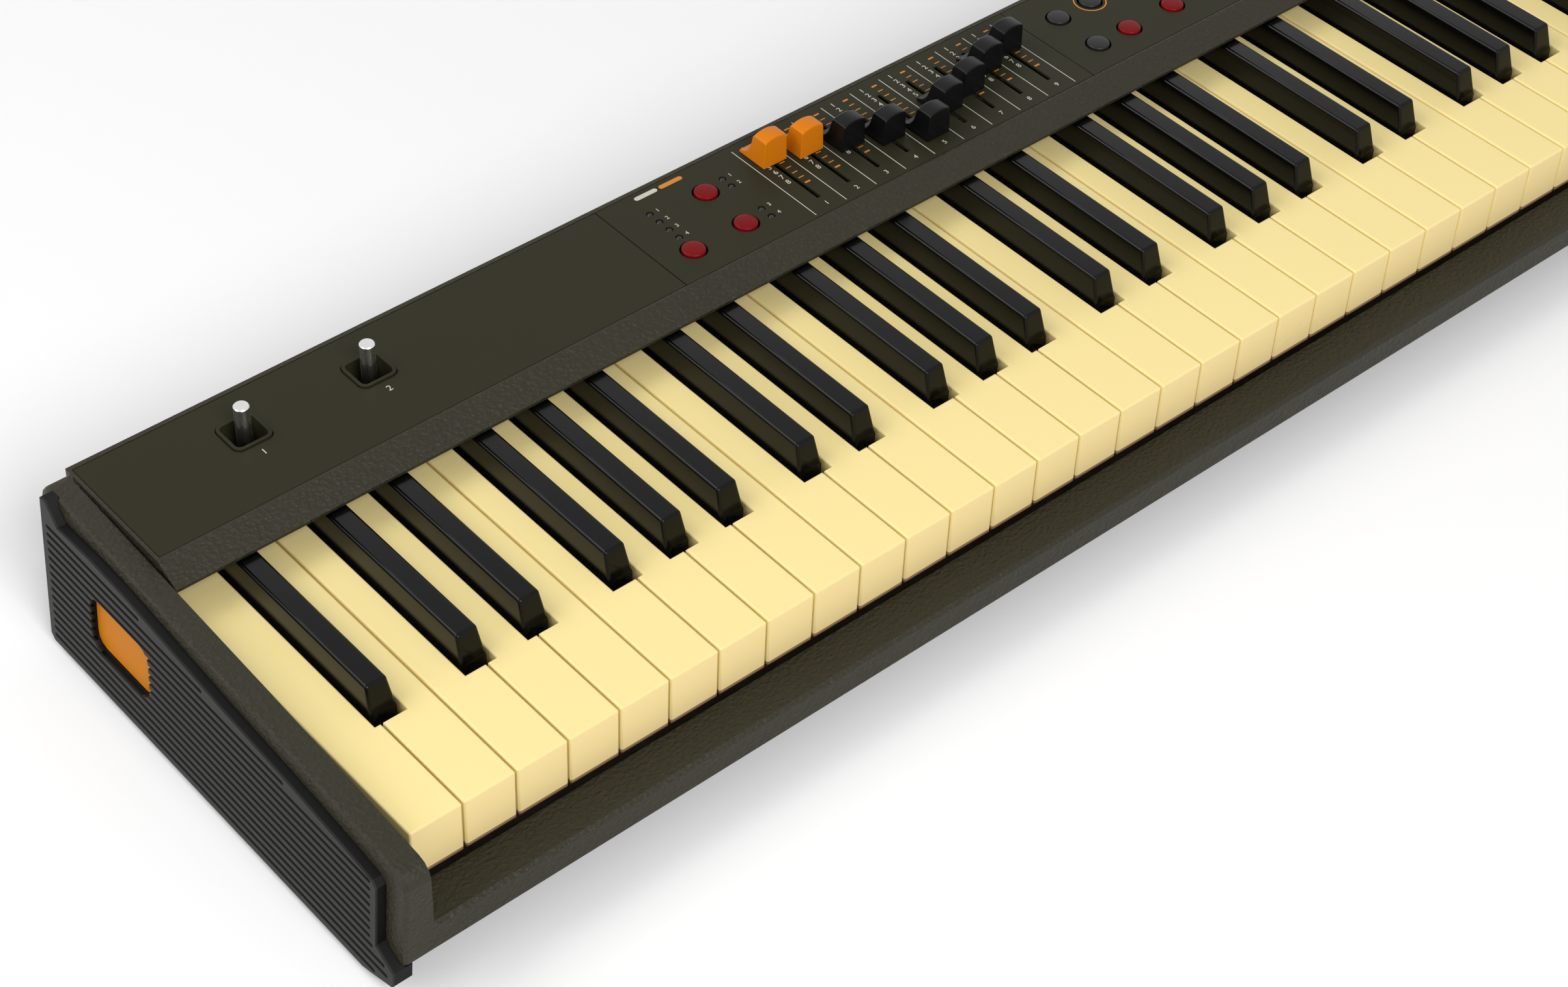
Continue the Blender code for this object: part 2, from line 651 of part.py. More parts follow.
def build_keys():
    """Combs of keys: in each span two of white keys by turns and one of black keys."""
    for span in range(SPANS):
        members = range(WHITES * span // SPANS, WHITES * (span + 1) // SPANS)
        for layer, kind in enumerate(("first", "second")):
            bm = bmesh.new()
            tails = [add_white_key(bm, index) for index in members if index % 2 == layer]
            build_comb(f"white_keys_{span + 1}_{kind}", "cream", layer, tails, bm)
        bm = bmesh.new()
        centres = [black_centre(index) for index in members]
        tails = [add_black_key(bm, centre) for centre in centres if centre is not None]
        build_comb(f"black_keys_{span + 1}", "ebony", 2, tails, bm)


def build_chassis():
    """Long channel that carries the keys, with a rear bead as their pivot."""
    base = PAN_BOTTOM + PAN_WALL + GAP
    top = base + BASE_T
    bead_z = -KEY_SLAB - GAP - BEAD_R
    neck = bead_z - 0.8 * BEAD_R
    points = [(BASE_FRONT, base), (BASE_REAR, base), (BASE_REAR, top), (PIVOT_Y + NECK_HALF, top),
              (PIVOT_Y + NECK_HALF, neck)]
    for a in range(-36, 217, 36):
        t = math.radians(a)
        points.append((PIVOT_Y + BEAD_R * math.cos(t), bead_z + BEAD_R * math.sin(t)))
    points += [(PIVOT_Y - NECK_HALF, neck), (PIVOT_Y - NECK_HALF, top)]
    for y0, y1, height in (BOARD_POST, STOP_POST):
        points += [(y1, top), (y1, height), (y0, height), (y0, top)]
    points.append((BASE_FRONT, top))
    bm = bmesh.new()
    add_prism(bm, points, -BASE_OVER, KEYBED + BASE_OVER)
    publish(bm, "key_chassis", "steel")


def pressed_under(y):
    """Height just below the underside of a fully pressed key at y."""
    return -KEY_SLAB - (PIVOT_Y - y) * math.sin(FULL_PRESS) - PRESS_ROOM


def build_boards():
    """Stop felts and contact board on the posts, and the main board on the channel."""
    y0, y1, low = STOP_POST
    bm = bmesh.new()
    add_box(bm, 0.0, KEYBED, y0, y1, low + GAP, pressed_under(y0))
    publish(bm, "key_felts", "felt")
    front, y0, y1, rear = CONTACT_Y
    low = BOARD_POST[2] + GAP
    high, dome = low + BOARD_T, pressed_under(y0)
    bm = bmesh.new()
    add_prism(bm, [(front, low), (rear, low), (rear, high), (y1, high), (y1, dome), (y0, dome),
                   (y0, high), (front, high)], 0.0, KEYBED)
    publish(bm, "contact_board", "board")
    x0, x1, y0, y1 = MAIN_BOARD
    low = PAN_BOTTOM + PAN_WALL + BASE_T + 2 * GAP
    bm = bmesh.new()
    add_box(bm, x0, x1, y0, y1, low, low + BOARD_T)
    board = publish(bm, "main_board", "board")
    bm = bmesh.new()
    for x, size in CHIPS:
        add_box(bm, x0 + x, x0 + x + size, CHIP_Y, CHIP_Y + size, low + BOARD_T / 2, low + BOARD_T / 2 + CHIP_T)
    combine(board, cutter(bm, "chip_form"), "UNION")


def build_panel_electronics():
    """Board under the panel with the switch bodies, and the slide units of the drawbars."""
    x0, x1, y0, y1, low = PANEL_BOARD
    high = low + BOARD_T
    bm = bmesh.new()
    add_box(bm, x0, x1, y0, y1, low, high)
    board = publish(bm, "panel_board", "board")
    bm = bmesh.new()
    middle = (y0 + y1) / 2 - 1.0
    for x in (x0 + 3.0, SEAM_RIGHT, x1 - 3.0):
        add_box(bm, x - POST_HALF, x + POST_HALF, middle - POST_HALF, middle + POST_HALF, high - 0.6,
                HOUSE_TOP - HOUSE_ROOF - GAP)
    for _, x, y, _ in BUTTONS:
        add_box(bm, x - SWITCH_HALF, x + SWITCH_HALF, y - SWITCH_HALF, y + SWITCH_HALF, high - 0.6, SWITCH_TOP)
    combine(board, cutter(bm, "switch_body_form"), "UNION")
    bm = bmesh.new()
    edge = UNIT_HALF + 0.5
    add_box(bm, bar_x(0) - edge, bar_x(8) + edge, SLOT_FRONT - 4.0, SLOT_REAR + 4.0, high + GAP, TRACK_TOP)
    slides = publish(bm, "drawbar_slides", "steel")
    bm = bmesh.new()
    for i in range(len(BAR_FRONTS)):
        add_box(bm, bar_x(i) - UNIT_HALF, bar_x(i) + UNIT_HALF, SLOT_FRONT - 3.0, SLOT_REAR + 3.0,
                TRACK_TOP - 0.5, UNIT_TOP)
    combine(slides, cutter(bm, "slide_unit_form"), "UNION")


def build_drawbars():
    """Nine drawbar caps with their stems."""
    for i, front in enumerate(BAR_FRONTS):
        x = bar_x(i)
        z0 = HOUSE_TOP + GAP
        outline = [(front, z0)] + [(front + y, z0 + z) for y, z in CAP_FOOT]
        outline += [(front + y, BAR_TOP - z) for y, z in CAP_HEAD]
        bm = bmesh.new()
        made = add_prism(bm, outline, x - BAR_W / 2, x + BAR_W / 2)
        for vert in made:
            if vert.co.z > z0 + 5.0:
                vert.co.x = x + (vert.co.x - x) * CAP_TAPER
        cap = publish(bm, f"drawbar_{i + 1}", "orange" if i < 2 else "charcoal")
        bm = bmesh.new()
        add_box(bm, x - SLOT_W / 2 + GAP, x + SLOT_W / 2 - GAP, front + STEM_BACK - STEM_LEN / 2,
                front + STEM_BACK + STEM_LEN / 2, UNIT_TOP + GAP, z0 + 1.0)
        combine(cap, cutter(bm, f"stem_{i + 1}_form"), "UNION")


def build_sticks():
    """Wells, gimbals and sticks."""
    bm = bmesh.new()
    for x, y in STICKS:
        add_slab(bm, rounded(x, y, WELL_OUT, WELL_OUT, 3.2), WELL_FLOOR, HOUSE_TOP + 0.8)
    wells = publish(bm, "stick_wells", "plate")
    bm = bmesh.new()
    add_box(bm, STICKS[0][0], STICKS[1][0], 184.0, 194.0, WELL_FLOOR + 0.2, WELL_FLOOR + 1.4)
    combine(wells, cutter(bm, "well_link_form"), "UNION")
    bm = bmesh.new()
    inside = WELL_OUT - 2 * WELL_WALL
    for x, y in STICKS:
        add_slab(bm, rounded(x, y, inside, inside, 2.2), WELL_FLOOR + 1.0, HOUSE_TOP + 5.0)
    combine(wells, cutter(bm, "well_inside_form"), "DIFFERENCE")
    for n, (x, y) in enumerate(STICKS, start=1):
        z = STICK_PIVOT_Z
        bm = bmesh.new()
        add_box(bm, x - 5.2, x + 5.2, y - 5.2, y + 5.2, z - 1.5, z + 1.5)
        gimbal = publish(bm, f"stick_{n}_gimbal", "steel")
        bm = bmesh.new()
        add_turned(bm, ((0.8, -inside / 2 + GAP), (0.8, inside / 2 - GAP)), (x, y, z), "Y", 8)
        combine(gimbal, cutter(bm, f"gimbal_{n}_pin_form"), "UNION")
        bm = bmesh.new()
        add_turned(bm, ((3.3, z - 4.0), (3.3, z + 4.0)), (x, y, 0.0))
        combine(gimbal, cutter(bm, f"gimbal_{n}_bore_form"), "DIFFERENCE")
        bm = bmesh.new()
        profile = ((2.6, z - 1.6), (2.6, z + 2.6), (STICK_R, z + 3.4), (STICK_R, STICK_TOP - 0.4),
                   (STICK_R - 0.4, STICK_TOP))
        add_turned(bm, profile, (x, y, 0.0))
        origin_at(publish(bm, f"stick_{n}", "aluminium"), x, y, z)


def build_buttons():
    """Push buttons, lenses, display glass and knobs."""
    for name, x, y, finish in BUTTONS:
        bm = bmesh.new()
        profile = ((BUTTON_R, 15.6), (BUTTON_R, BUTTON_TOP - 0.9), (BUTTON_R - 0.6, BUTTON_TOP - 0.4),
                   (BUTTON_R - 2.4, BUTTON_TOP))
        add_turned(bm, profile, (x, y, 0.0))
        publish(bm, name, finish)
    bm = bmesh.new()
    for x, y in LEDS:
        add_turned(bm, ((LED_R - 0.35, HOUSE_TOP - 3.0), (LED_R - 0.35, HOUSE_TOP - 0.3)), (x, y, 0.0),
                   sides=10)
    guide = publish(bm, "lamp_guide", "lens")
    left, right = LEDS[0][0], LEDS[4][0]
    for n, (x0, x1, y0, y1) in enumerate(((left, left, LEDS[3][1], LEDS[0][1]),
                                          (right, right, LEDS[7][1], LEDS[4][1]),
                                          (left, right, LEDS[3][1], LEDS[3][1]))):
        bm = bmesh.new()
        add_box(bm, x0 - 1.1, x1 + 1.1, y0 - 1.1, y1 + 1.1, HOUSE_TOP - 4.0, HOUSE_TOP - 2.6)
        combine(guide, cutter(bm, f"lamp_arm_{n}_form"), "UNION")
    x0, x1, y0, y1 = DISPLAY
    bm = bmesh.new()
    add_box(bm, x0, x1, y0, y1, HOUSE_TOP - PLATE_T - 2.0, HOUSE_TOP + 0.2)
    publish(bm, "display_window", "lens")
    for name, x, y, radius in KNOBS:
        z0 = HOUSE_TOP + GAP
        bm = bmesh.new()
        profile = ((KNOB_SHAFT_R, 10.0), (KNOB_SHAFT_R, z0), (radius, z0), (radius * 0.94, z0 + KNOB_H - 0.8),
                   (radius * 0.94 - 0.8, z0 + KNOB_H))
        add_turned(bm, profile, (x, y, 0.0), sides=24)
        publish(bm, name, "charcoal")


def socket_block(name, x0, x1, places, radius, bore, depth):
    """A block behind the rear panel with round mouths through it and blind bores."""
    inner = REAR_PANEL[0] - GAP
    bm = bmesh.new()
    add_box(bm, x0, x1, inner - depth, inner, JACK_Z - radius, JACK_Z + radius)
    block = publish(bm, name, "charcoal")
    for part, r, y0, y1, way in (("mouth", radius - 0.05, inner - 1.0, REAR_Y - 1.5, "UNION"),
                                 ("bore", bore, inner - depth + 1.5, REAR_Y + 3.0, "DIFFERENCE")):
        bm = bmesh.new()
        for x in places:
            add_turned(bm, ((r, y0), (r, y1)), (x, 0.0, JACK_Z), "Y")
        combine(block, cutter(bm, f"{name}_{part}_form"), way)
    return block


def build_sockets():
    """Rear sockets, inlet and power switch."""
    depth = SOCKET_DEPTH
    socket_block("jack_sockets", JACKS[0] - 7.0, JACKS[-1] + 7.0, JACKS, JACK_R, JACK_BORE, depth)
    x, width, height = USB
    block = socket_block("data_sockets", x - width, DINS[-1] + DIN_R, DINS, DIN_R, DIN_BORE, depth)
    bm = bmesh.new()
    add_box(bm, x - width / 2, x + width / 2, REAR_PANEL[0] - 2.0, REAR_PANEL[1] + 0.6,
            JACK_Z - height / 2, JACK_Z + height / 2)
    combine(block, cutter(bm, "usb_shell_form"), "UNION")
    bm = bmesh.new()
    add_box(bm, x - width / 2 + 1, x + width / 2 - 1, REAR_PANEL[0] - 5.0, REAR_PANEL[1] + 3.0,
            JACK_Z - height / 2 + 1, JACK_Z + height / 2 - 1)
    combine(block, cutter(bm, "usb_mouth_form"), "DIFFERENCE")
    socket_block("power_inlet", INLET_X - 8.0, INLET_X + 8.0, (INLET_X,), JACK_R, JACK_BORE, depth)
    bm = bmesh.new()
    profile = ((SWITCH_R, REAR_PANEL[0] - 4.0), (SWITCH_R, REAR_Y - 0.8),
               (SWITCH_R - 0.6, REAR_Y - 0.2))
    add_turned(bm, profile, (SWITCH_X, 0.0, JACK_Z), "Y")
    publish(bm, "power_switch", "charcoal")


def build_feet():
    """Four rubber feet."""
    for end, x in (("left", 50.0), ("right", KEYBED - 50.0)):
        for side, y in (("front", 20.0), ("rear", 190.0)):
            bm = bmesh.new()
            add_turned(bm, ((FOOT_R - 1.0, FOOT_Z), (FOOT_R, PAN_BOTTOM - GAP)), (x, y, 0.0))
            publish(bm, f"{side}_{end}_foot", "rubber")


def main():
    """Clear the scene and build every piece."""
    global PARENT
    for obj in list(bpy.data.objects):
        bpy.data.objects.remove(obj, do_unlink=True)
    PARENT = bpy.data.objects.new("keyboard_corner", None)
    bpy.context.scene.collection.objects.link(PARENT)
    PARENT.location = (-KEYBED / 2 * MM, -(FRONT_Y + REAR_Y) / 2 * MM, -FOOT_Z * MM)
    build_case_frame()
    build_grille("left_grille", False)
    build_grille("right_grille", True)
    build_side_inserts()
    build_pan()
    build_rear_panel()
    build_housing()
    build_plates()
    build_keys()
    build_chassis()
    build_boards()
    build_panel_electronics()
    build_drawbars()
    build_sticks()
    build_buttons()
    build_sockets()
    build_feet()


main()
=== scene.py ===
"""The looks of a stage piano: finishes, rounded mouldings, controls and panel print."""

import json
import logging
import math
from dataclasses import dataclass, field
from enum import Enum
from typing import Callable

import bmesh
import bpy
from mathutils import Matrix, Quaternion, Vector

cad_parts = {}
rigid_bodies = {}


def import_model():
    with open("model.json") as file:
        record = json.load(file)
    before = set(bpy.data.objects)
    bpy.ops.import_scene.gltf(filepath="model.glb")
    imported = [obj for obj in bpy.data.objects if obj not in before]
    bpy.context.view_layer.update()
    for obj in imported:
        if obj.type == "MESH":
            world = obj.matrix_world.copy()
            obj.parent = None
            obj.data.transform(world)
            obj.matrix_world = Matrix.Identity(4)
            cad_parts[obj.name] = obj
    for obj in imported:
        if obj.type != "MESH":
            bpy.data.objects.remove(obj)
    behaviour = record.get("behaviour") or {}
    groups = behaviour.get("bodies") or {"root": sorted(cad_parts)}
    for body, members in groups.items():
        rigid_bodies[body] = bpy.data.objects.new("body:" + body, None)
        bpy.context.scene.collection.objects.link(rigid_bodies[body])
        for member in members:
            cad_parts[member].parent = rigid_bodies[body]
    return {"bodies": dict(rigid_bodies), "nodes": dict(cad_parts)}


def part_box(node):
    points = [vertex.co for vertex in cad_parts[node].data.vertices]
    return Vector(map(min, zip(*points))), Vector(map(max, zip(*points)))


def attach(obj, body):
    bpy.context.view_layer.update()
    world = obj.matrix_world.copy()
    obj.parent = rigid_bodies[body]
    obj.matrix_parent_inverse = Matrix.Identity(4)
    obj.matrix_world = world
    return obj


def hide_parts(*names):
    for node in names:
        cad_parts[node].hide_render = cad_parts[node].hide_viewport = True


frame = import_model()
LOG = logging.getLogger("stage_piano")
MM = 0.001
CORNER = Vector((-0.611, -0.097, 0.0537))
PANEL_Z = 20.5
INK = 0.06
INK_LOW = PANEL_Z - 0.02
INK_HIGH = PANEL_Z + INK
Outline = list[tuple[float, float]]


def world(x: float, y: float, z: float) -> Vector:
    """Return the place in metres of a point measured from the keyboard's corner in mm."""
    return CORNER + Vector((x, y, z)) * MM


class Slot(Enum):
    """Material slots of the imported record."""

    CASE = "case"
    PANEL = "panel"
    GRILLE = "grille"
    INSERT = "insert"
    SHEET = "sheet"
    WHITE_KEY = "white_key"
    BLACK_KEY = "black_key"
    FELT = "felt"
    BOARD = "board"
    STEEL = "steel"
    STICK = "stick"
    CAP_ORANGE = "cap_orange"
    CAP_BLACK = "cap_black"
    BUTTON_RED = "button_red"
    BUTTON_BLACK = "button_black"
    LENS = "lens"
    SOCKET = "socket"
    RUBBER = "rubber"


class Nodes:
    """Short hands for wiring a node tree."""

    def __init__(self, tree: bpy.types.NodeTree) -> None:
        """Keep the tree that the nodes go into."""
        self.tree = tree

    def add(self, kind: str, **values: float) -> bpy.types.Node:
        """Add a node and set its inputs by name.

        Args:
            kind: Blender's name of the node type.
            values: Input names, with spaces as underscores, and their values.

        Returns:
            The new node.
        """
        node = self.tree.nodes.new(kind)
        for name, value in values.items():
            node.inputs[name.replace("_", " ")].default_value = value
        return node

    def link(self, source: bpy.types.NodeSocket, target: bpy.types.NodeSocket) -> None:
        """Join two sockets."""
        self.tree.links.new(source, target)

    def maths(self, operation: str, first: object, second: object) -> bpy.types.NodeSocket:
        """Add a Math node whose two inputs are sockets or numbers, and return its output."""
        node = self.tree.nodes.new("ShaderNodeMath")
        node.operation = operation
        for socket, value in zip(node.inputs, (first, second)):
            if isinstance(value, bpy.types.NodeSocket):
                self.link(value, socket)
            else:
                socket.default_value = value
        return node.outputs[0]


def surface_group() -> bpy.types.NodeTree:
    """Build the shared node group of moulded surfaces.

    Returns:
        A group that puts out a mottled colour, a varied roughness and a grain height.
    """
    known = bpy.data.node_groups.get("moulded surface")
    if known:
        return known
    tree = bpy.data.node_groups.new("moulded surface", "ShaderNodeTree")
    ports = tree.interface
    for name, kind in (("Colour", "NodeSocketColor"), ("Worn", "NodeSocketColor"),
                       ("Mottle", "NodeSocketFloat"), ("Grain Size", "NodeSocketFloat"),
                       ("Streak", "NodeSocketVector"), ("Roughness", "NodeSocketFloat")):
        ports.new_socket(name, in_out="INPUT", socket_type=kind)
    for name, kind in (("Colour", "NodeSocketColor"), ("Roughness", "NodeSocketFloat"),
                       ("Height", "NodeSocketFloat")):
        ports.new_socket(name, in_out="OUTPUT", socket_type=kind)
    nodes = Nodes(tree)
    given = nodes.add("NodeGroupInput")
    result = nodes.add("NodeGroupOutput")
    place = nodes.add("ShaderNodeTexCoord")
    scaled = nodes.add("ShaderNodeVectorMath")
    scaled.operation = "MULTIPLY"
    nodes.link(place.outputs["Object"], scaled.inputs[0])
    nodes.link(given.outputs["Streak"], scaled.inputs[1])
    grain = nodes.add("ShaderNodeTexNoise", Detail=3.0, Roughness=0.6, Distortion=0.6)
    cells = nodes.add("ShaderNodeTexVoronoi")
    for texture in (grain, cells):
        nodes.link(scaled.outputs[0], texture.inputs["Vector"])
        nodes.link(given.outputs["Grain Size"], texture.inputs["Scale"])
    height = nodes.maths("ADD", grain.outputs["Fac"], nodes.maths("MULTIPLY", cells.outputs["Distance"], 0.5))
    broad = nodes.add("ShaderNodeTexNoise", Scale=9.0, Detail=4.0)
    nodes.link(place.outputs["Object"], broad.inputs["Vector"])
    share = nodes.maths("MULTIPLY", nodes.maths("ADD", broad.outputs["Fac"],
                        nodes.maths("MULTIPLY", grain.outputs["Fac"], 0.6)), given.outputs["Mottle"])
    mix = nodes.add("ShaderNodeMix")
    mix.data_type = "RGBA"
    nodes.link(share, mix.inputs["Factor"])
    nodes.link(given.outputs["Colour"], mix.inputs[6])
    nodes.link(given.outputs["Worn"], mix.inputs[7])
    rough = nodes.maths("ADD", given.outputs["Roughness"],
                        nodes.maths("MULTIPLY", nodes.maths("SUBTRACT", broad.outputs["Fac"], 0.5), 0.18))
    nodes.link(mix.outputs[2], result.inputs["Colour"])
    nodes.link(rough, result.inputs["Roughness"])
    nodes.link(height, result.inputs["Height"])
    return tree


@dataclass(frozen=True)
class Finish:
    """One finish: its colours and the scale and depth of its grain."""

    name: str
    slot: Slot
    colour: tuple[float, float, float]
    worn: tuple[float, float, float]
    roughness: float = 0.45
    mottle: float = 0.3
    grain: float = 900.0
    relief: float = 0.00003
    streak: tuple[float, float, float] = (1.0, 1.0, 1.0)
    metallic: float = 0.0
    coat: float = 0.0
    specular: float = 0.3

    def material(self) -> bpy.types.Material:
        """Build the finish once.

        Returns:
            Its material.
        """
        known = bpy.data.materials.get(self.name)
        if known:
            return known
        made = bpy.data.materials.new(self.name)
        made.use_nodes = True
        nodes = Nodes(made.node_tree)
        shader = made.node_tree.nodes["Principled BSDF"]
        shader.inputs["Metallic"].default_value = self.metallic
        shader.inputs["Coat Weight"].default_value = self.coat
        shader.inputs["Specular IOR Level"].default_value = self.specular
        group = nodes.add("ShaderNodeGroup")
        group.node_tree = surface_group()
        group.inputs["Colour"].default_value = (*self.colour, 1.0)
        group.inputs["Worn"].default_value = (*self.worn, 1.0)
        group.inputs["Mottle"].default_value = self.mottle
        group.inputs["Grain Size"].default_value = self.grain
        group.inputs["Streak"].default_value = self.streak
        group.inputs["Roughness"].default_value = self.roughness
        nodes.link(self.tint(nodes, group.outputs["Colour"]), shader.inputs["Base Color"])
        nodes.link(group.outputs["Roughness"], shader.inputs["Roughness"])
        bump = nodes.add("ShaderNodeBump", Strength=1.0, Distance=self.relief)
        nodes.link(group.outputs["Height"], bump.inputs["Height"])
        nodes.link(bump.outputs["Normal"], shader.inputs["Normal"])
        return made

    def tint(self, nodes: Nodes, colour: bpy.types.NodeSocket) -> bpy.types.NodeSocket:
        """Return the colour unchanged; a finish with places of another colour or with painted shade paints them
        here.
        """
        return colour


@dataclass(frozen=True)
class KeyFinish(Finish):
    """Cream key plastic with painted shade on its fronts, whose lip ends in a brown step with a painted shadow
    below it.
    """

    # front: the cream darkened on the key fronts, which is painted shade.
    front: tuple[float, float, float] = (0.86, 0.68, 0.32)
    step: tuple[float, float, float] = (0.30, 0.185, 0.10)
    # edge: a near-black band at the bottom of the fronts, which is a painted shadow above the rail.
    edge: tuple[float, float, float] = (0.07, 0.03, 0.018)
    # In front of this depth the key fronts get the painted shade.
    front_y: float = 0.35
    step_z: float = -22.6
    # Below this height the fronts get the painted shadow.
    edge_z: float = -23.9

    def tint(self, nodes: Nodes, colour: bpy.types.NodeSocket) -> bpy.types.NodeSocket:
        """Paint shade on the fronts, then the brown step and a painted shadow below it, over the cream.

        Args:
            nodes: The material's nodes.
            colour: The plain colour.

        Returns:
            The painted colour.
        """
        place = nodes.add("ShaderNodeTexCoord")
        parts = nodes.add("ShaderNodeSeparateXYZ")
        nodes.link(place.outputs["Object"], parts.inputs[0])
        # In turn: painted shade on the fronts, the brown step, then the painted shadow at the bottom of the lip.
        for axis, limit, paint in (("Y", world(0.0, self.front_y, 0.0).y, self.front),
                                   ("Z", world(0.0, 0.0, self.step_z).z, self.step),
                                   ("Z", world(0.0, 0.0, self.edge_z).z, self.edge)):
            mask = nodes.maths("LESS_THAN", parts.outputs[axis], limit)
            mix = nodes.add("ShaderNodeMix")
            mix.data_type = "RGBA"
            mix.inputs[7].default_value = (*paint, 1.0)
            nodes.link(mask, mix.inputs["Factor"])
            nodes.link(colour, mix.inputs[6])
            colour = mix.outputs[2]
        return colour


@dataclass(frozen=True)
class GrilleFinish(Finish):
    """Ribbed plastic with near-black painted shade down in its grooves."""

    # Colour of the painted shade in the grooves.
    groove: tuple[float, float, float] = (0.004, 0.004, 0.004)
    half_length: float = 630.5
    lean: float = 0.07
    lean_top: float = 22.0
    depth: float = 0.9

    def tint(self, nodes: Nodes, colour: bpy.types.NodeSocket) -> bpy.types.NodeSocket:
        """Paint near-black shade on what lies deeper than a set depth behind the ribs' leaning plane.

        Args:
            nodes: The material's nodes.
            colour: The plain colour.

        Returns:
            The darkened colour.
        """
        place = nodes.add("ShaderNodeTexCoord")
        parts = nodes.add("ShaderNodeSeparateXYZ")
        nodes.link(place.outputs["Object"], parts.inputs[0])
        # Groove floors below this level get the painted shade.
        level = (self.half_length + self.lean * self.lean_top - self.depth) * MM + self.lean * CORNER.z
        edge = nodes.maths("SUBTRACT", level, nodes.maths("MULTIPLY", parts.outputs["Z"], self.lean))
        mask = nodes.maths("LESS_THAN", nodes.maths("ABSOLUTE", parts.outputs["X"], 0.0), edge)
        mix = nodes.add("ShaderNodeMix")
        mix.data_type = "RGBA"
        mix.inputs[7].default_value = (*self.groove, 1.0)
        nodes.link(mask, mix.inputs["Factor"])
        nodes.link(colour, mix.inputs[6])
        return mix.outputs[2]


CASE = Finish("grained olive moulding", Slot.CASE, (0.015, 0.0135, 0.006), (0.038, 0.034, 0.020),
              0.44, 0.45, 430.0, 0.00070, (1.0, 1.4, 1.4), specular=0.22)
PANEL = Finish("satin olive plate", Slot.PANEL, (0.022, 0.0205, 0.010), (0.028, 0.0262, 0.014),
               0.46, 0.4, 2200.0, 0.00001, specular=0.10)
# The grille's finish paints near-black shade in its grooves.
GRILLE = GrilleFinish("dark ribbed plastic", Slot.GRILLE, (0.016, 0.0153, 0.0147), (0.029, 0.0277, 0.0265),
                      0.5, 0.4, 1200.0, 0.00002, specular=0.14)
INSERT = Finish("orange inlay", Slot.INSERT, (0.55, 0.185, 0.004), (0.48, 0.15, 0.004), 0.42, 0.4, 1500.0,
                specular=0.06)
SHEET = Finish("dark painted sheet", Slot.SHEET, (0.024, 0.024, 0.025), (0.038, 0.038, 0.038),
               0.5, 0.5, 1800.0, 0.00003)
# This key finish paints shade on the key fronts and a shadow at the foot of the lip.
CREAM = KeyFinish("cream key plastic", Slot.WHITE_KEY, (0.92, 0.765, 0.35), (0.87, 0.70, 0.29),
                  0.30, 0.3, 700.0, 0.000004, specular=0.22)
EBONY = Finish("black key plastic", Slot.BLACK_KEY, (0.0012, 0.0012, 0.0012), (0.004, 0.004, 0.0035),
               0.17, 0.35, 1500.0, 0.000004, specular=0.16)
FELT = Finish("red felt", Slot.FELT, (0.22, 0.02, 0.02), (0.30, 0.04, 0.03), 0.95, 0.6, 3000.0, 0.0002)
BOARD = Finish("green board", Slot.BOARD, (0.02, 0.11, 0.05), (0.03, 0.15, 0.07), 0.4, 0.5, 500.0)
STEEL = Finish("plain steel", Slot.STEEL, (0.42, 0.42, 0.43), (0.34, 0.34, 0.35), 0.35, 0.5,
               900.0, 0.00001, (1.0, 12.0, 12.0), metallic=1.0)
TURNED = Finish("turned aluminium", Slot.STICK, (0.72, 0.72, 0.71), (0.62, 0.62, 0.61), 0.24, 0.3,
                1200.0, 0.0000015, (1.0, 1.0, 9.0), metallic=1.0)
ORANGE = Finish("orange cap plastic", Slot.CAP_ORANGE, (0.68, 0.20, 0.004), (0.60, 0.165, 0.003),
                0.36, 0.35, 1600.0, 0.00001, specular=0.16)
CHARCOAL = Finish("black cap plastic", Slot.CAP_BLACK, (0.003, 0.003, 0.0035), (0.007, 0.007, 0.008),
                  0.32, 0.4, 1600.0, 0.00001, specular=0.18)
RED = Finish("dark red button", Slot.BUTTON_RED, (0.18, 0.003, 0.004), (0.14, 0.002, 0.003), 0.36,
             0.4, 1600.0, 0.00001, specular=0.12)
BLACK_BUTTON = Finish("black button", Slot.BUTTON_BLACK, (0.010, 0.010, 0.011), (0.02, 0.02, 0.02),
                      0.36, 0.4, 1600.0, 0.00001, specular=0.25)
LENS = Finish("dark lens", Slot.LENS, (0.006, 0.005, 0.006), (0.012, 0.010, 0.012), 0.12, 0.3,
              300.0, 0.000004, coat=0.3)
SOCKET = Finish("socket plastic", Slot.SOCKET, (0.012, 0.012, 0.013), (0.022, 0.022, 0.022), 0.5, 0.5)
RUBBER = Finish("foot rubber", Slot.RUBBER, (0.012, 0.012, 0.012), (0.025, 0.025, 0.025), 0.85, 0.6,
                1200.0, 0.00005)
WHITE_INK = Finish("off-white print", Slot.PANEL, (0.56, 0.55, 0.48), (0.48, 0.46, 0.40), 0.5, 0.3)
ORANGE_INK = Finish("orange print", Slot.PANEL, (0.62, 0.22, 0.03), (0.52, 0.18, 0.02), 0.5, 0.3)

NODE_FINISHES = {
    SHEET: ("bottom_pan", "rear_panel"),
    STEEL: ("key_chassis", "drawbar_slides", "stick_1_gimbal", "stick_2_gimbal"),
    FELT: ("key_felts",),
    BOARD: ("contact_board", "main_board", "panel_board"),
    SOCKET: ("jack_sockets", "data_sockets", "power_inlet", "power_switch"),
    LENS: ("display_window",),
    INSERT: ("left_insert", "right_insert"),
    RUBBER: ("front_left_foot", "front_right_foot", "rear_left_foot", "rear_right_foot"),
}


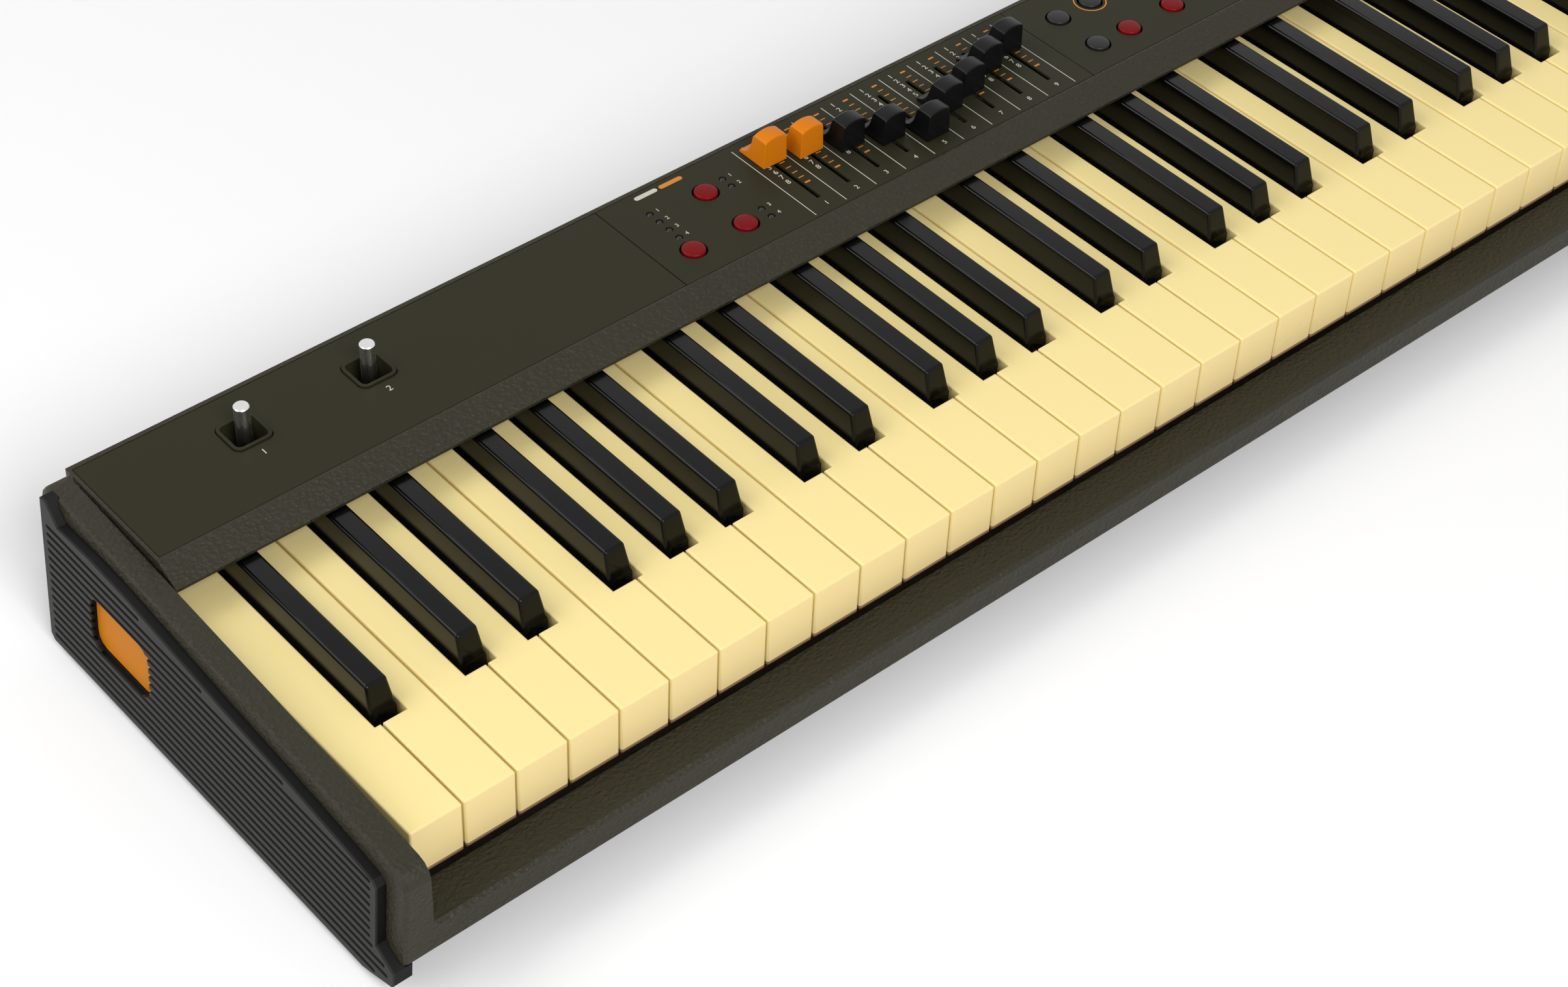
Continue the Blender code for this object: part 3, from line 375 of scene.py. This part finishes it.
def publish(bm: bmesh.types.BMesh, name: str, finish: Finish, body: str, replaced: str = "",
            crease: float = 35.0) -> bpy.types.Object:
    """Turn a bmesh into a finished piece that rides on a body.

    Args:
        bm: The piece in the frame's metres; it is used up.
        name: The piece's name.
        finish: Its finish.
        body: The body that it rides on.
        replaced: The node that it stands for, or nothing.
        crease: Edges sharper than this many degrees stay sharp.

    Returns:
        The piece.
    """
    mesh = bpy.data.meshes.new(name)
    bm.to_mesh(mesh)
    bm.free()
    mesh.materials.append(finish.material())
    mesh.shade_smooth()
    mesh.set_sharp_from_angle(angle=math.radians(crease))
    piece = bpy.data.objects.new(name, mesh)
    bpy.context.scene.collection.objects.link(piece)
    even = piece.modifiers.new("even shading", "WEIGHTED_NORMAL")
    even.keep_sharp = True
    even.weight = 100
    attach(piece, body)
    if replaced:
        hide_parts(replaced)
    LOG.info("%s rides on %s with %d faces", name, body, len(mesh.polygons))
    return piece


def merged_copy(node: str) -> bmesh.types.BMesh:
    """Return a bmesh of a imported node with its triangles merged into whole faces."""
    bm = bmesh.new()
    bm.from_mesh(frame["nodes"][node].data)
    bmesh.ops.remove_doubles(bm, verts=bm.verts, dist=0.000004)
    bmesh.ops.dissolve_limit(bm, angle_limit=math.radians(0.6), verts=bm.verts, edges=bm.edges,
                             use_dissolve_boundaries=False)
    return bm


def soften(bm: bmesh.types.BMesh, width: float, chosen: Callable[[bmesh.types.BMEdge], bool],
           segments: int = 3) -> None:
    """Round the sharp edges that a test picks.

    Args:
        bm: The mesh to change.
        width: The rounding's width in millimetres.
        chosen: Says whether an edge is rounded.
        segments: Steps across the rounding.
    """
    sharp = [e for e in bm.edges if len(e.link_faces) == 2
             and e.calc_face_angle(0.0) > math.radians(25.0) and chosen(e)]
    bmesh.ops.bevel(bm, geom=sharp, offset=width * MM, offset_type="OFFSET", segments=segments,
                    profile=0.5, affect="EDGES", material=-1, clamp_overlap=True)


def turned(bm: bmesh.types.BMesh, profile: Outline, centre: Vector, steps: int = 48) -> None:
    """Spin a (radius, height) profile in millimetres round an upright axis.

    Args:
        bm: The mesh that it goes into.
        profile: Its points, with the first and last on the axis.
        centre: Where height zero lies on the axis, in metres.
        steps: Steps of the whole turn.
    """
    verts = [bm.verts.new(centre + Vector((r, 0.0, h)) * MM) for r, h in profile]
    edges = [bm.edges.new(pair) for pair in zip(verts, verts[1:])]
    bmesh.ops.spin(bm, geom=verts + edges, cent=centre, axis=(0, 0, 1), dvec=(0, 0, 0),
                   angle=math.tau, steps=steps, use_merge=True, use_duplicate=False)
    bmesh.ops.remove_doubles(bm, verts=bm.verts, dist=0.000002)
    bmesh.ops.recalc_face_normals(bm, faces=bm.faces)


def slab(bm: bmesh.types.BMesh, outline: Outline, low: float, high: float) -> None:
    """Raise a plan outline in millimetres from low to high."""
    face = bm.faces.new([bm.verts.new(world(x, y, low)) for x, y in outline])
    grown = bmesh.ops.extrude_face_region(bm, geom=[face])["geom"]
    moved = [v for v in grown if isinstance(v, bmesh.types.BMVert)]
    bmesh.ops.translate(bm, vec=(0, 0, (high - low) * MM), verts=moved)


def rectangle(x0: float, x1: float, y0: float, y1: float) -> Outline:
    """Return a rectangle's corners."""
    return [(x0, y0), (x1, y0), (x1, y1), (x0, y1)]


def pill(x0: float, x1: float, y0: float, y1: float, steps: int = 6) -> Outline:
    """Return the outline of a bar with round ends."""
    r = (y1 - y0) / 2
    points = []
    for cx, start in ((x1 - r, -90.0), (x0 + r, 90.0)):
        for i in range(steps + 1):
            a = math.radians(start + 180.0 * i / steps)
            points.append((cx + r * math.cos(a), (y0 + y1) / 2 + r * math.sin(a)))
    return points


def numeral(figure: int, size: float) -> bpy.types.Mesh:
    """Return the mesh of one plain numeral, in millimetres round its own middle.

    Args:
        figure: The number shown.
        size: Its type size.

    Returns:
        A mesh that belongs to no object.
    """
    curve = bpy.data.curves.new("figure", "FONT")
    curve.body = str(figure)
    curve.size = size
    curve.align_x = "CENTER"
    curve.align_y = "CENTER"
    curve.extrude = INK / 2
    text = bpy.data.objects.new("figure", curve)
    bpy.context.scene.collection.objects.link(text)
    bpy.context.view_layer.update()
    mesh = bpy.data.meshes.new_from_object(text.evaluated_get(bpy.context.evaluated_depsgraph_get()))
    bpy.data.objects.remove(text)
    bpy.data.curves.remove(curve)
    return mesh


def stamp(bm: bmesh.types.BMesh, figure: int, size: float, x: float, y: float) -> None:
    """Lay one numeral on the panel.

    Args:
        bm: The mesh that it goes into.
        figure: The number shown.
        size: Its type size in millimetres.
        x: Its middle's place along the keys.
        y: Its middle's place to the rear.
    """
    mesh = numeral(figure, size)
    mesh.transform(Matrix.Translation(world(x, y, PANEL_Z + INK / 2)) @ Matrix.Scale(MM, 4))
    bm.from_mesh(mesh)
    bpy.data.meshes.remove(mesh)


@dataclass
class Case:
    """Cheeks with the front rail, top housing, plates and ribbed ends."""

    moulding_edge: float = 0.7
    plate_edge: float = 0.25
    rib_edge: float = 0.35
    screw_radius: float = 3.2
    screw_inset: float = 14.0
    screw_front: float = 25.0
    screw_count: int = 5

    def dress(self) -> None:
        """Round the mouldings and give every fixed node its finish."""
        for node, finish, width in (("case_frame", CASE, self.moulding_edge),
                                    ("panel_housing", CASE, self.plate_edge),
                                    ("left_plate", PANEL, self.plate_edge),
                                    ("organ_plate", PANEL, self.plate_edge),
                                    ("main_plate", PANEL, self.plate_edge),
                                    ("left_grille", GRILLE, self.rib_edge),
                                    ("right_grille", GRILLE, self.rib_edge),
                                    ("stick_wells", PANEL, self.rib_edge)):
            bm = merged_copy(node)
            soften(bm, width, lambda edge: True, 2)
            publish(bm, node + "_moulding", finish, "root", node)
        for finish, names in NODE_FINISHES.items():
            for name in names:
                node = frame["nodes"][name]
                node.data.materials.clear()
                node.data.materials.append(finish.material())
        self.screws()

    def screws(self) -> None:
        """Put round-headed screws under the tray, clear of the feet."""
        low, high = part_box("bottom_pan")
        bm = bmesh.new()
        for i in range(self.screw_count):
            x = low.x + self.screw_inset * MM + (high.x - low.x - 2 * self.screw_inset * MM) * i / (self.screw_count - 1)
            for y in (low.y + self.screw_front * MM, high.y - self.screw_inset * MM):
                at = Vector((x, y, low.z))
                turned(bm, [(0.0, -0.4), (0.6, -1.0), (2.4, -1.0), (self.screw_radius, -0.3),
                            (self.screw_radius, 0.0), (0.0, 0.0)], at, 20)
        publish(bm, "tray_screws", STEEL, "root")


@dataclass
class Keyboard:
    """White and black keys, rounded where fingers meet them."""

    white_edge: float = 0.9
    black_edge: float = 1.3
    shown_to: float = 148.0
    top_z: float = 0.0

    def dress(self) -> None:
        """Replace each comb by its rounded copy."""
        rear = world(0.0, self.shown_to, 0.0).y
        for body in frame["bodies"]:
            if body.startswith("white_keys"):
                bm = merged_copy(body)
                soften(bm, self.white_edge, lambda e: self.white_edge_shows(e, rear))
                publish(bm, body + "_shell", CREAM, body, body)
            if body.startswith("black_keys"):
                bm = merged_copy(body)
                soften(bm, self.black_edge, lambda e: self.black_edge_shows(e, rear), 4)
                publish(bm, body + "_shell", EBONY, body, body)

    def white_edge_shows(self, edge: bmesh.types.BMEdge, rear: float) -> bool:
        """Say whether a white key's edge lies on its top or its front."""
        ends = [v.co for v in edge.verts]
        top = world(0.0, 0.0, self.top_z).z - 0.0001
        front = world(0.0, 1.0, 0.0).y
        return (all(p.z > top for p in ends) and min(p.y for p in ends) < rear) or all(p.y < front for p in ends)

    def black_edge_shows(self, edge: bmesh.types.BMEdge, rear: float) -> bool:
        """Say whether a black key's edge lies above the white keys."""
        ends = [v.co for v in edge.verts]
        return max(p.z for p in ends) > world(0.0, 0.0, 6.0).z and min(p.y for p in ends) < rear


@dataclass
class Drawbars:
    """Nine drawbar caps on their stems, with the printed scale beside each slot."""

    first: float = 330.8
    pitch: float = 17.03
    count: int = 9
    width: float = 13.2
    arch: float = 1.4
    taper: float = 0.90
    steps: int = 10
    figures: int = 8
    figure_rear: float = 206.4
    figure_pitch: float = 4.16
    figure_size: float = 4.0
    base_y: float = 156.6
    base_size: float = 3.6
    line_y: tuple[float, float] = (153.0, 208.2)
    line_half: float = 0.17
    figure_x: float = 3.6
    tick_x: tuple[float, float] = (1.7, 4.5)

    def dress(self) -> None:
        """Build the caps and the print."""
        for i in range(self.count):
            self.cap(i)
        self.print_scale()

    def cap(self, i: int) -> None:
        """Build one cap: an upright front, a crowned top and a hollow back that runs to a thin lip."""
        node = f"drawbar_{i + 1}"
        low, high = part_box(node)
        front = (low.y - CORNER.y) / MM
        x = self.first + self.pitch * i
        base = PANEL_Z + 0.3
        top = (high.z - CORNER.z) / MM - self.arch
        side = [(0.0, base), (16.2, base), (16.3, base + 0.9), (15.6, base + 1.5), (13.4, base + 2.2),
                (11.4, base + 3.4), (10.2, base + 5.2), (9.2, base + 8.0), (8.4, top - 1.0),
                (7.9, top - 0.3), (7.2, top), (1.0, top), (0.3, top - 0.3), (0.0, top - 1.0)]
        bm = bmesh.new()
        half = self.width / 2
        face = bm.faces.new([bm.verts.new(world(x - half, front + y, z)) for y, z in side])
        loop = [face]
        for _ in range(self.steps):
            grown = bmesh.ops.extrude_face_region(bm, geom=loop)["geom"]
            moved = [v for v in grown if isinstance(v, bmesh.types.BMVert)]
            bmesh.ops.translate(bm, vec=(self.width / self.steps * MM, 0, 0), verts=moved)
            kept = loop
            loop = [f for f in grown if isinstance(f, bmesh.types.BMFace)]
            if kept[0] is not face:
                bmesh.ops.delete(bm, geom=kept, context="FACES_ONLY")
        for vert in bm.verts:
            u = (vert.co.x - world(x, 0, 0).x) / (half * MM)
            rise = max(0.0, ((vert.co.z - CORNER.z) / MM - base) / (top - base))
            vert.co.x = world(x, 0, 0).x + (vert.co.x - world(x, 0, 0).x) * (1 - (1 - self.taper) * rise)
            vert.co.z += self.arch * MM * (1 - u * u) * rise
        bmesh.ops.recalc_face_normals(bm, faces=bm.faces)
        soften(bm, 0.35, lambda e: e.calc_length() > 0.0 and self.at_end(e, x, half), 2)
        publish(bm, node + "_cap", ORANGE if i < 2 else CHARCOAL, node, node)
        stem = bmesh.new()
        slab(stem, rectangle(x - 0.5, x + 0.5, front + 2.5, front + 6.5), 15.4, base + 0.2)
        bmesh.ops.recalc_face_normals(stem, faces=stem.faces)
        publish(stem, node + "_stem", STEEL, node)

    def at_end(self, edge: bmesh.types.BMEdge, x: float, half: float) -> bool:
        """Say whether an edge borders the flat ends of a cap."""
        return all(abs((v.co.x - CORNER.x) / MM - x) > half * 0.85 for v in edge.verts)

    def print_scale(self) -> None:
        """Print numerals, ticks and separating lines on the organ plate."""
        white = bmesh.new()
        dull = bmesh.new()
        for figure in range(1, self.figures + 1):
            y = self.figure_rear - self.figure_pitch * (figure - 1)
            for i in range(self.count):
                stamp(white, figure, self.figure_size, self.first + self.pitch * i - self.figure_x, y)
        for i in range(self.count):
            stamp(white, i + 1, self.base_size, self.first + self.pitch * i, self.base_y)
        for i in range(self.count + 1):
            x = self.first + self.pitch * (i - 0.5) - 0.6
            slab(white, rectangle(x - self.line_half, x + self.line_half, *self.line_y), INK_LOW, INK_HIGH)
        for i in range(self.count):
            x = self.first + self.pitch * i
            for n in range(self.figures + 1):
                y = self.figure_rear - 0.6 - self.figure_pitch * n
                half = 0.45 if n in (0, self.figures) else 0.25
                slab(dull, rectangle(x + self.tick_x[0], x + self.tick_x[1], y - half, y + half),
                     INK_LOW, INK_HIGH)
        for bm, name, finish in ((white, "scale_print", WHITE_INK), (dull, "tick_print", ORANGE_INK)):
            bmesh.ops.recalc_face_normals(bm, faces=bm.faces)
            publish(bm, name, finish, "root")


@dataclass
class Controls:
    """Push buttons, lamps, sticks and knobs, with the plain marks round them."""

    button_radius: float = 5.2
    crown: float = 0.5
    ring: tuple[float, float] = (7.2, 7.8)
    marks: tuple[float, float] = (206.9, 209.3)
    organ_bar: tuple[float, float] = (268.2, 280.2)
    synth_bar: tuple[float, float] = (281.4, 293.8)
    lamp_radius: float = 1.45
    stick_x: tuple[float, float] = (60.2, 118.6)
    note_y: float = 175.0
    note_size: float = 4.4
    lamp_note: float = 4.2
    blacks: tuple[str, ...] = ("layer_button", "edit_button", "store_button")
    reds: tuple[str, ...] = ("select_button", "percussion_button", "decay_button", "sound_button",
                             "lower_button")
    lamps: list[tuple[float, float]] = field(default_factory=lambda: [
        (267.3, y) for y in (196.8, 190.4, 183.9, 177.4)] + [(306.7, y) for y in (196.4, 190.4, 170.8, 164.4)])

    def dress(self) -> None:
        """Build all controls."""
        for name in self.reds + self.blacks:
            self.button(name, RED if name in self.reds else BLACK_BUTTON)
        for n in (1, 2):
            self.stick(n)
        for name in ("value_knob", "volume_knob"):
            self.knob(name)
        self.lamp_domes()
        self.print_marks()

    def button(self, name: str, finish: Finish) -> None:
        """Turn one domed push button."""
        low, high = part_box(name)
        at = Vector(((low.x + high.x) / 2, (low.y + high.y) / 2, high.z))
        r = self.button_radius
        depth = (high.z - low.z) / MM
        profile = [(0.0, 0.0), (r * 0.35, -0.04), (r * 0.65, -0.15), (r * 0.84, -0.32), (r * 0.94, -0.55),
                   (r * 0.985, -0.85), (r, -1.2), (r, -depth), (0.0, -depth)]
        bm = bmesh.new()
        turned(bm, profile, at)
        publish(bm, name + "_cap", finish, name, name)

    def stick(self, n: int) -> None:
        """Turn one stick with a dished, chamfered top."""
        name = f"stick_{n}"
        low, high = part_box(name)
        at = Vector(((low.x + high.x) / 2, (low.y + high.y) / 2, low.z))
        length = (high.z - low.z) / MM
        profile = [(0.0, length - 0.25), (1.2, length - 0.2), (2.3, length - 0.08), (2.6, length),
                   (2.9, length - 0.06), (3.2, length - 0.45), (3.2, 6.0), (3.1, 5.4), (2.6, 4.2), (2.6, 0.0),
                   (0.0, 0.0)]
        bm = bmesh.new()
        turned(bm, profile, at)
        publish(bm, name + "_turned", TURNED, name, name)

    def knob(self, name: str) -> None:
        """Turn one knob and press grip flutes into its skirt."""
        low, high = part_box(name)
        at = Vector(((low.x + high.x) / 2, (low.y + high.y) / 2, low.z))
        r = (high.x - low.x) / 2 / MM
        top = (high.z - low.z) / MM
        skirt = world(0, 0, PANEL_Z + 0.3).z
        base = (skirt - low.z) / MM
        profile = [(0.0, top - 0.5), (r * 0.7, top - 0.45), (r * 0.84, top), (r * 0.9, top - 0.3),
                   (r * 0.94, top - 1.0), (r * 0.95, top - 3.0), (r * 0.97, base + 3.0), (r, base + 1.4),
                   (r, base), (3.0, base), (3.0, 0.0), (0.0, 0.0)]
        bm = bmesh.new()
        turned(bm, profile, at, 96)
        for vert in bm.verts:
            out = Vector((vert.co.x - at.x, vert.co.y - at.y))
            h = (vert.co.z - at.z) / MM
            if out.length > r * 0.9 * MM and base + 2.0 < h < top - 0.5:
                dip = 0.5 + 0.5 * math.cos(24 * math.atan2(out.y, out.x))
                vert.co.x -= out.normalized().x * dip * 0.6 * MM
                vert.co.y -= out.normalized().y * dip * 0.6 * MM
        publish(bm, name + "_turned", CHARCOAL, name, name)
        line = bmesh.new()
        x, y = ((at - CORNER) / MM).x, ((at - CORNER) / MM).y
        z = ((high - CORNER) / MM).z
        slab(line, rectangle(x - 0.5, x + 0.5, y + r * 0.25, y + r * 0.68), z - 0.6, z - 0.36)
        bmesh.ops.recalc_face_normals(line, faces=line.faces)
        publish(line, name + "_line", WHITE_INK, name)

    def lamp_domes(self) -> None:
        """Give each lamp a small dark dome in its hole."""
        bm = bmesh.new()
        r = self.lamp_radius
        for x, y in self.lamps:
            turned(bm, [(0.0, -0.1), (r * 0.6, -0.25), (r * 0.95, -0.7), (r, -1.1), (r, -3.0), (0.0, -3.0)],
                   world(x, y, PANEL_Z), 20)
        publish(bm, "lamp_domes", LENS, "root", "lamp_guide")

    def print_marks(self) -> None:
        """Print the ring round one button and two plain bars."""
        ring = bmesh.new()
        low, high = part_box("store_button")
        at = Vector(((low.x + high.x) / 2, (low.y + high.y) / 2, world(0, 0, PANEL_Z).z))
        inner, outer = self.ring
        verts = [ring.verts.new(at + Vector((r, 0, h)) * MM)
                 for r, h in ((inner, -0.02), (inner, 0.06), (outer, 0.06), (outer, -0.02))]
        edges = [ring.edges.new((verts[i], verts[(i + 1) % 4])) for i in range(4)]
        bmesh.ops.spin(ring, geom=verts + edges, cent=at, axis=(0, 0, 1), dvec=(0, 0, 0),
                       angle=math.tau, steps=64, use_merge=True, use_duplicate=False)
        slab(ring, pill(*self.synth_bar, *self.marks), INK_LOW, INK_HIGH)
        bmesh.ops.recalc_face_normals(ring, faces=ring.faces)
        publish(ring, "ring_print", ORANGE_INK, "root")
        white = bmesh.new()
        slab(white, pill(*self.organ_bar, *self.marks), INK_LOW, INK_HIGH)
        for n, x in enumerate(self.stick_x, start=1):
            stamp(white, n, self.note_size, x, self.note_y)
        for n, (x, y) in enumerate(self.lamps):
            stamp(white, n % 4 + 1, self.note_size * 0.7, x + self.lamp_note, y)
        bmesh.ops.recalc_face_normals(white, faces=white.faces)
        publish(white, "bar_print", WHITE_INK, "root")


@dataclass
class Studio:
    """Pale floor, soft lamps and the photograph's view."""

    place: tuple[float, float, float] = (-0.99328, -0.69424, 0.88459)
    aim: tuple[float, float, float] = (0.49325, 0.53397, -0.68672)
    roll: float = 2.712
    lens: float = 71.34
    world_light: float = 0.38

    def build(self) -> None:
        """Make the floor, the lamps, the world and the camera."""
        scene = bpy.context.scene
        scene.view_settings.view_transform = "Standard"
        bm = bmesh.new()
        bmesh.ops.create_grid(bm, x_segments=1, y_segments=1, size=8.0)
        mesh = bpy.data.meshes.new("floor")
        bm.to_mesh(mesh)
        bm.free()
        floor = bpy.data.objects.new("floor", mesh)
        floor.location = (0, 0, -0.0005)
        scene.collection.objects.link(floor)
        mesh.materials.append(self.floor_material())
        self.light_world()
        for name, at, size, power in (("key lamp", (-0.9, -2.1, 1.9), 1.3, 54.0),
                                      ("rear lamp", (-1.9, 1.5, 2.2), 1.6, 30.0),
                                      ("side lamp", (-2.6, 0.4, 1.2), 1.0, 12.0)):
            self.lamp(name, at, size, power)
        data = bpy.data.cameras.new("view")
        data.lens = self.lens
        data.sensor_width = 36.0
        data.sensor_fit = "HORIZONTAL"
        data.clip_start = 0.02
        camera = bpy.data.objects.new("view", data)
        camera.location = self.place
        camera.rotation_mode = "QUATERNION"
        turn = Vector(self.aim).to_track_quat("-Z", "Y")
        camera.rotation_quaternion = turn @ Quaternion((0, 0, 1), math.radians(self.roll))
        scene.collection.objects.link(camera)
        scene.camera = camera

    def floor_material(self) -> bpy.types.Material:
        """Return the floor's pale matt material."""
        made = bpy.data.materials.new("pale floor")
        made.use_nodes = True
        shader = made.node_tree.nodes["Principled BSDF"]
        shader.inputs["Base Color"].default_value = (0.93, 0.93, 0.93, 1.0)
        shader.inputs["Roughness"].default_value = 0.9
        return made

    def light_world(self) -> None:
        """Light evenly, and show plain white to the camera, to gloss and to glass."""
        sky = bpy.data.worlds.new("studio")
        bpy.context.scene.world = sky
        sky.use_nodes = True
        nodes = Nodes(sky.node_tree)
        seen = nodes.add("ShaderNodeLightPath")
        back = sky.node_tree.nodes["Background"]
        back.inputs["Color"].default_value = (1.0, 1.0, 1.0, 1.0)
        plain = nodes.maths("MAXIMUM", seen.outputs["Is Camera Ray"],
                            nodes.maths("MAXIMUM", seen.outputs["Is Glossy Ray"],
                                        seen.outputs["Is Transmission Ray"]))
        strength = nodes.maths("ADD", self.world_light, nodes.maths("MULTIPLY", plain, 1 - self.world_light))
        nodes.link(strength, back.inputs["Strength"])

    def lamp(self, name: str, at: tuple[float, float, float], size: float, power: float) -> None:
        """Hang one square soft lamp that points at the keys."""
        data = bpy.data.lights.new(name, "AREA")
        data.size = size
        data.energy = power
        lamp = bpy.data.objects.new(name, data)
        lamp.location = at
        lamp.rotation_mode = "QUATERNION"
        lamp.rotation_quaternion = (Vector((-0.2, 0.0, 0.05)) - Vector(at)).to_track_quat("-Z", "Y")
        bpy.context.scene.collection.objects.link(lamp)


def main() -> None:
    """Build the sub-assemblies in order."""
    logging.basicConfig(level=logging.INFO, format="%(message)s")
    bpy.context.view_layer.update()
    Studio().build()
    Case().dress()
    Keyboard().dress()
    Drawbars().dress()
    Controls().dress()


if __name__ == "__main__":
    main()
